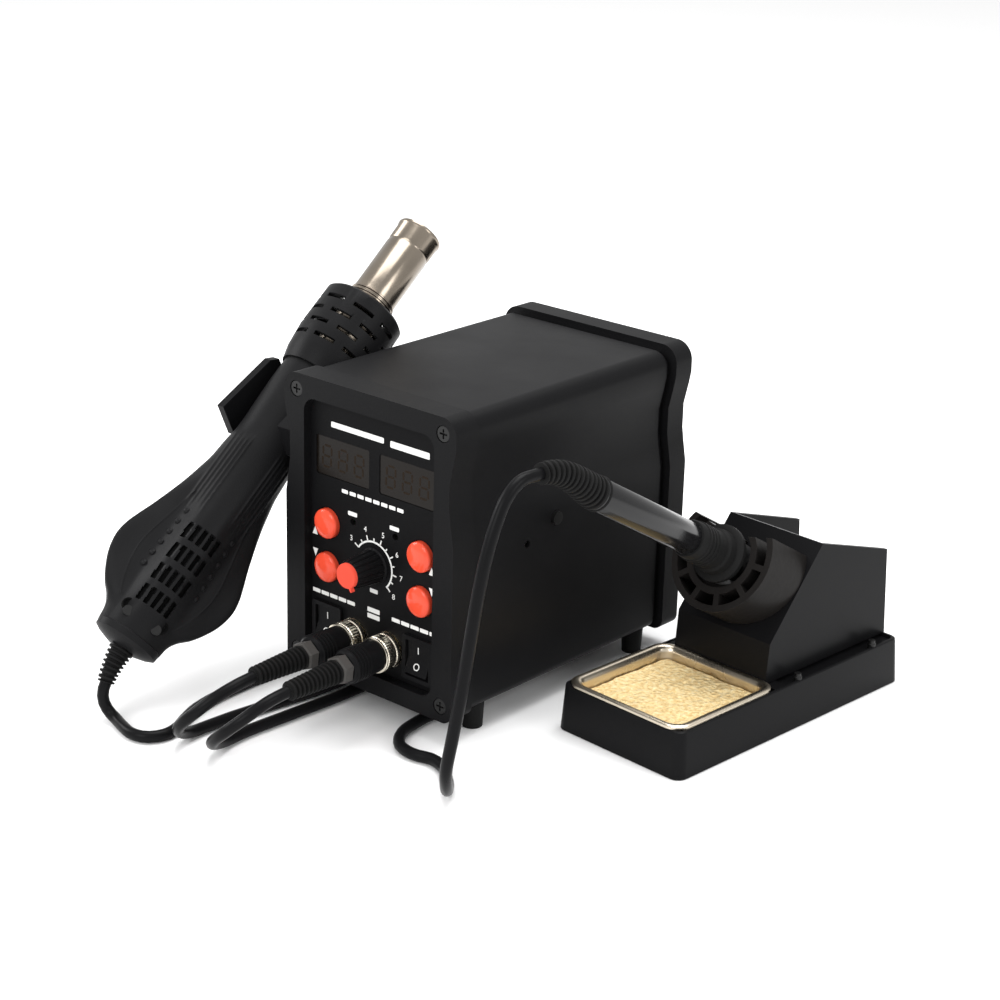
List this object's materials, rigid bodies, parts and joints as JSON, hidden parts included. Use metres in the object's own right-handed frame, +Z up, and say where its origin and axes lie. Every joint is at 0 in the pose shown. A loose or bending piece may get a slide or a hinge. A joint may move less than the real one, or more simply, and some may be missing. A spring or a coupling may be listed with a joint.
{
  "type": "soldering and hot-air rework station",
  "caption": "Bench soldering station: black control unit with hot-air handle in a side bracket, soldering iron in a stand with a sponge tray, and two cords.",
  "frame": {"origin": "on the ground at the centre of the footprint of the control unit, handle and stand together, cords left out", "axes": "+Z up, -Y out of the control panel, +X towards the iron stand"},
  "size_m": [0.2877, 0.3154, 0.1832],
  "materials": {
    "case": "satin black powder coat",
    "bezel": "fine-textured black",
    "panel": "satin black printed panel",
    "window": "smoked translucent",
    "display": "dull dark grey",
    "button_red": "glossy coral red",
    "knob_black": "satin black",
    "knob_red": "satin red",
    "nickel": "warm nickel plate",
    "screw": "black oxide",
    "steel": "warm polished steel",
    "black_plastic": "satin black",
    "black_rubber": "matte black",
    "cord": "satin black silicone",
    "tube_black": "glossy black",
    "bakelite": "semi-gloss moulded",
    "stand_black": "satin black",
    "sponge": "open-pored cellulose",
    "copper_tip": "tinned",
    "circuit": "solder mask",
    "ceramic": "mica and ceramic"
  },
  "bodies": {
    "root": {"case_extrusion": "case", "front_bezel": "bezel", "front_panel": "panel", "case_screws": "screw", "display_windows": "window", "led_displays": "display", "control_board": "circuit", "pot_body": "nickel", "rocker_frames": "black_plastic", "connector_sockets": "nickel", "iron_plug": "black_plastic", "air_plug": "black_plastic", "iron_plug_boot": "black_rubber", "air_plug_boot": "black_rubber", "rear_cover": "bezel", "inlet_socket": "black_plastic", "inlet_pins": "nickel", "power_board": "circuit", "transformer": "steel", "feet": "black_rubber", "handle_bracket": "black_plastic", "bracket_screws": "screw", "iron_cord_drop": "cord", "iron_cord": "cord", "iron_cord_coil": "cord", "air_cord": "cord", "air_cord_coil": "cord"},
    "button_iron_up": {"button_iron_up": "button_red"},
    "button_iron_down": {"button_iron_down": "button_red"},
    "button_air_up": {"button_air_up": "button_red"},
    "button_air_down": {"button_air_down": "button_red"},
    "airflow_knob": {"airflow_knob": "knob_black", "knob_cap": "knob_red"},
    "rocker_iron": {"rocker_iron": "black_plastic"},
    "rocker_air": {"rocker_air": "black_plastic"},
    "coupling_ring_iron": {"coupling_ring_iron": "nickel"},
    "coupling_ring_air": {"coupling_ring_air": "nickel"},
    "trimmer_iron": {"trimmer_iron": "nickel"},
    "trimmer_air": {"trimmer_air": "nickel"},
    "fuse_drawer": {"fuse_drawer": "black_plastic"},
    "air_handle": {"handle_shell_face": "black_plastic", "handle_shell_back": "black_plastic", "nozzle_guard": "black_plastic", "nozzle_tube": "steel", "heater_core": "ceramic", "fan_motor": "steel", "handle_screws": "screw", "handle_boot": "black_rubber"},
    "fan_rotor": {"fan_rotor": "black_plastic"},
    "stand": {"stand_base": "stand_black", "stand_bracket": "stand_black", "iron_holder": "bakelite", "stand_bolts": "screw"},
    "sponge_tray": {"sponge_tray": "steel"},
    "sponge": {"sponge": "sponge"},
    "iron": {"iron_sleeve": "black_rubber", "iron_tube": "tube_black", "iron_barrel": "steel", "iron_tip": "copper_tip", "iron_boot": "black_rubber"}
  },
  "joints": [
    {"name": "button_iron_up_press", "type": "slide", "parent": "root", "child": "button_iron_up", "axis": [0, 1, 0], "range_m": [0, 0.0009], "stiffness_N_per_m": 400, "springref_m": -0.0006},
    {"name": "button_iron_down_press", "type": "slide", "parent": "root", "child": "button_iron_down", "axis": [0, 1, 0], "range_m": [0, 0.0009], "stiffness_N_per_m": 400, "springref_m": -0.0006},
    {"name": "button_air_up_press", "type": "slide", "parent": "root", "child": "button_air_up", "axis": [0, 1, 0], "range_m": [0, 0.0009], "stiffness_N_per_m": 400, "springref_m": -0.0006},
    {"name": "button_air_down_press", "type": "slide", "parent": "root", "child": "button_air_down", "axis": [0, 1, 0], "range_m": [0, 0.0009], "stiffness_N_per_m": 400, "springref_m": -0.0006},
    {"name": "airflow_turn", "type": "hinge", "parent": "root", "child": "airflow_knob", "pos_m": [-0.0243, -0.0548, 0.066], "axis": [0, -1, 0], "range_deg": [0, 275]},
    {"name": "rocker_iron_press", "type": "hinge", "parent": "root", "child": "rocker_iron", "pos_m": [-0.0506, -0.0483, 0.032], "axis": [1, 0, 0], "range_deg": [0, 18]},
    {"name": "coupling_ring_iron_turn", "type": "hinge", "parent": "root", "child": "coupling_ring_iron", "pos_m": [-0.0343, -0.0568, 0.032], "axis": [0, 1, 0], "continuous": true},
    {"name": "trimmer_iron_turn", "type": "hinge", "parent": "root", "child": "trimmer_iron", "pos_m": [-0.0363, -0.0458, 0.082], "axis": [0, 1, 0], "range_deg": [-130, 130]},
    {"name": "rocker_air_press", "type": "hinge", "parent": "root", "child": "rocker_air", "pos_m": [0.002, -0.0483, 0.032], "axis": [1, 0, 0], "range_deg": [0, 18]},
    {"name": "coupling_ring_air_turn", "type": "hinge", "parent": "root", "child": "coupling_ring_air", "pos_m": [-0.0143, -0.0568, 0.032], "axis": [0, 1, 0], "continuous": true},
    {"name": "trimmer_air_turn", "type": "hinge", "parent": "root", "child": "trimmer_air", "pos_m": [-0.0123, -0.0458, 0.082], "axis": [0, 1, 0], "range_deg": [-130, 130]},
    {"name": "fuse_drawer_pull", "type": "slide", "parent": "root", "child": "fuse_drawer", "axis": [0, 1, 0], "range_m": [0, 0.014]},
    {"name": "air_handle_lift", "type": "slide", "parent": "root", "child": "air_handle", "axis": [0, -0.6331, 0.7741], "range_m": [0, 0.07], "deforming": ["air_cord"]},
    {"name": "fan_spin", "type": "hinge", "parent": "air_handle", "child": "fan_rotor", "pos_m": [-0.0973, -0.09148, 0.05734], "axis": [0.7455, -0.422, 0.5159], "continuous": true},
    {"name": "stand_shift", "type": "slide", "parent": "root", "child": "stand", "axis": [1, 0, 0], "range_m": [0, 0.06], "deforming": ["iron_cord_drop", "iron_cord"]},
    {"name": "tray_lift", "type": "slide", "parent": "stand", "child": "sponge_tray", "axis": [0, 0, 1], "range_m": [0, 0.012]},
    {"name": "sponge_lift", "type": "slide", "parent": "sponge_tray", "child": "sponge", "axis": [0, 0, 1], "range_m": [0, 0.01]},
    {"name": "iron_draw", "type": "slide", "parent": "stand", "child": "iron", "axis": [-0.0602, -0.8604, 0.506], "range_m": [0, 0.12], "deforming": ["iron_cord_drop", "iron_cord"]}
  ]
}
